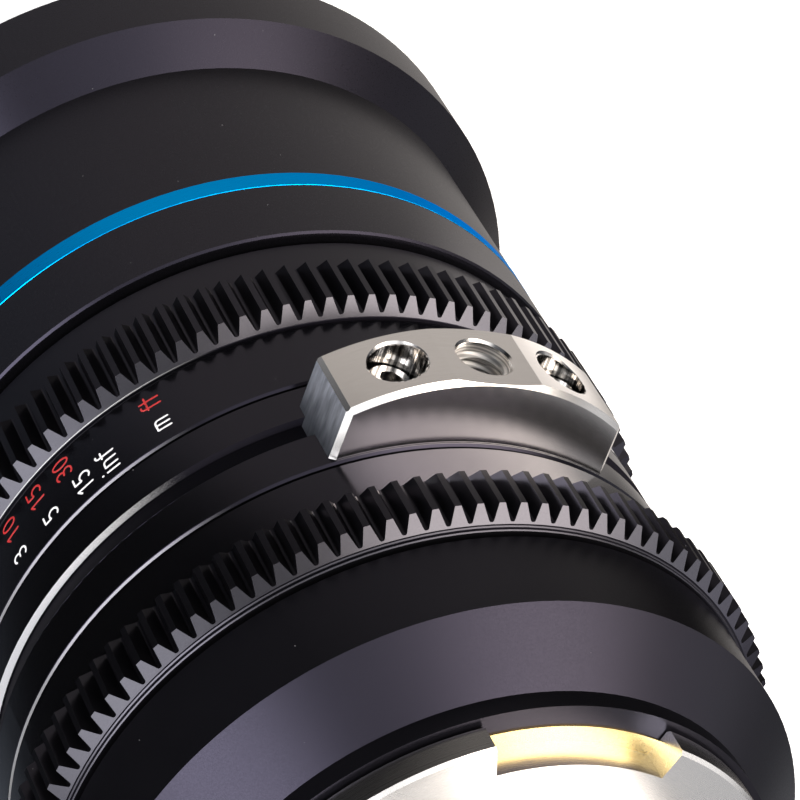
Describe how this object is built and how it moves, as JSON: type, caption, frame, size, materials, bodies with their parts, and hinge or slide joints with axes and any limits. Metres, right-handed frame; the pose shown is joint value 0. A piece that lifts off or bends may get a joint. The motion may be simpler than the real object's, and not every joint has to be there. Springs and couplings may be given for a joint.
{
  "type": "cinema prime lens",
  "caption": "Cinema prime lens with geared focus and iris rings, a faceted steel support foot, a blue accent ring and a four-lug bayonet camera mount.",
  "frame": {"origin": "centre of the front rim, on the optical axis, where the lens stands on its front", "axes": "+Z along the optical axis from the front rim to the camera mount, -Y out through the support foot"},
  "size_m": [0.095, 0.0968, 0.1455],
  "materials": {
    "satin_black": "satin black anodised",
    "gloss_black": "gloss black anodised",
    "gear_black": "semi gloss black anodised, machined teeth",
    "matt_black": "matt black anti-reflex",
    "bare_tube": "grey anodised",
    "accent_blue": "metallic blue anodised",
    "coated_glass": "coated",
    "machined_steel": "machined, bright edges",
    "bright_steel": "bright",
    "black_steel": "black oxide",
    "blade_steel": "blackened sheet",
    "brass": "turned",
    "slide_plastic": "low-friction plastic"
  },
  "bodies": {
    "body": {"front_barrel": "satin_black", "accent_ring": "accent_blue", "front_bezel": "matt_black", "front_cell": "matt_black", "front_element": "coated_glass", "front_retainer": "matt_black", "front_inner_element": "coated_glass", "front_inner_retainer": "matt_black", "main_barrel": "bare_tube", "barrel_screws": "bright_steel", "thrust_rings": "slide_plastic", "index_barrel": "gloss_black", "index_screws": "black_steel", "support_foot": "machined_steel", "foot_screws": "machined_steel", "rear_barrel": "satin_black", "rear_screws": "black_steel", "rear_cell": "matt_black", "rear_inner_element": "coated_glass", "rear_inner_retainer": "matt_black", "mount_shim": "brass", "mount_flange": "machined_steel", "mount_screws": "bright_steel", "rear_tube": "matt_black", "rear_element": "coated_glass", "rear_retainer": "matt_black", "iris_housing": "matt_black", "iris_cover": "matt_black"},
    "focus_ring": {"focus_ring": "gear_black", "focus_gear": "gear_black", "focus_scale": "gloss_black", "scale_screws": "black_steel"},
    "focus_group": {"focus_cell": "matt_black", "cam_followers": "brass", "focus_front_element": "coated_glass", "focus_rear_element": "coated_glass", "focus_spacer": "matt_black", "focus_retainer": "matt_black"},
    "iris_ring": {"iris_ring": "gloss_black", "iris_gear": "gear_black", "iris_drive_pin": "bright_steel", "iris_cam_ring": "matt_black"},
    "blade_1": {"iris_blade_1": "blade_steel"},
    "blade_2": {"iris_blade_2": "blade_steel"},
    "blade_3": {"iris_blade_3": "blade_steel"},
    "blade_4": {"iris_blade_4": "blade_steel"},
    "blade_5": {"iris_blade_5": "blade_steel"},
    "blade_6": {"iris_blade_6": "blade_steel"},
    "blade_7": {"iris_blade_7": "blade_steel"},
    "blade_8": {"iris_blade_8": "blade_steel"}
  },
  "joints": [
    {"name": "focus_turn", "type": "hinge", "parent": "body", "child": "focus_ring", "pos_m": [0, 0, 0.062], "axis": [0, 0, 1], "range_deg": [-143, 127]},
    {"name": "focus_slide", "type": "slide", "parent": "body", "child": "focus_group", "axis": [0, 0, 1], "range_m": [-0.00509, 0.00452]},
    {"name": "iris_turn", "type": "hinge", "parent": "body", "child": "iris_ring", "pos_m": [0, 0, 0.096], "axis": [0, 0, 1], "range_deg": [-24, 36]},
    {"name": "blade_turn_1", "type": "hinge", "parent": "body", "child": "blade_1", "pos_m": [0.031, 0, 0.09273], "axis": [0, 0, 1], "range_deg": [-12.81, 19.21]},
    {"name": "blade_turn_2", "type": "hinge", "parent": "body", "child": "blade_2", "pos_m": [0.02192, 0.02192, 0.09273], "axis": [0, 0, 1], "range_deg": [-12.81, 19.21]},
    {"name": "blade_turn_3", "type": "hinge", "parent": "body", "child": "blade_3", "pos_m": [0, 0.031, 0.09273], "axis": [0, 0, 1], "range_deg": [-12.81, 19.21]},
    {"name": "blade_turn_4", "type": "hinge", "parent": "body", "child": "blade_4", "pos_m": [-0.02192, 0.02192, 0.09273], "axis": [0, 0, 1], "range_deg": [-12.81, 19.21]},
    {"name": "blade_turn_5", "type": "hinge", "parent": "body", "child": "blade_5", "pos_m": [-0.031, 0, 0.09273], "axis": [0, 0, 1], "range_deg": [-12.81, 19.21]},
    {"name": "blade_turn_6", "type": "hinge", "parent": "body", "child": "blade_6", "pos_m": [-0.02192, -0.02192, 0.09273], "axis": [0, 0, 1], "range_deg": [-12.81, 19.21]},
    {"name": "blade_turn_7", "type": "hinge", "parent": "body", "child": "blade_7", "pos_m": [0, -0.031, 0.09273], "axis": [0, 0, 1], "range_deg": [-12.81, 19.21]},
    {"name": "blade_turn_8", "type": "hinge", "parent": "body", "child": "blade_8", "pos_m": [0.02192, -0.02192, 0.09273], "axis": [0, 0, 1], "range_deg": [-12.81, 19.21]}
  ],
  "couplings": [
    {"joint": "focus_slide", "follows": "focus_turn", "m_per_rad": 0.0020372},
    {"joint": "blade_turn_1", "follows": "iris_turn", "ratio": 0.53333},
    {"joint": "blade_turn_2", "follows": "iris_turn", "ratio": 0.53333},
    {"joint": "blade_turn_3", "follows": "iris_turn", "ratio": 0.53333},
    {"joint": "blade_turn_4", "follows": "iris_turn", "ratio": 0.53333},
    {"joint": "blade_turn_5", "follows": "iris_turn", "ratio": 0.53333},
    {"joint": "blade_turn_6", "follows": "iris_turn", "ratio": 0.53333},
    {"joint": "blade_turn_7", "follows": "iris_turn", "ratio": 0.53333},
    {"joint": "blade_turn_8", "follows": "iris_turn", "ratio": 0.53333}
  ]
}
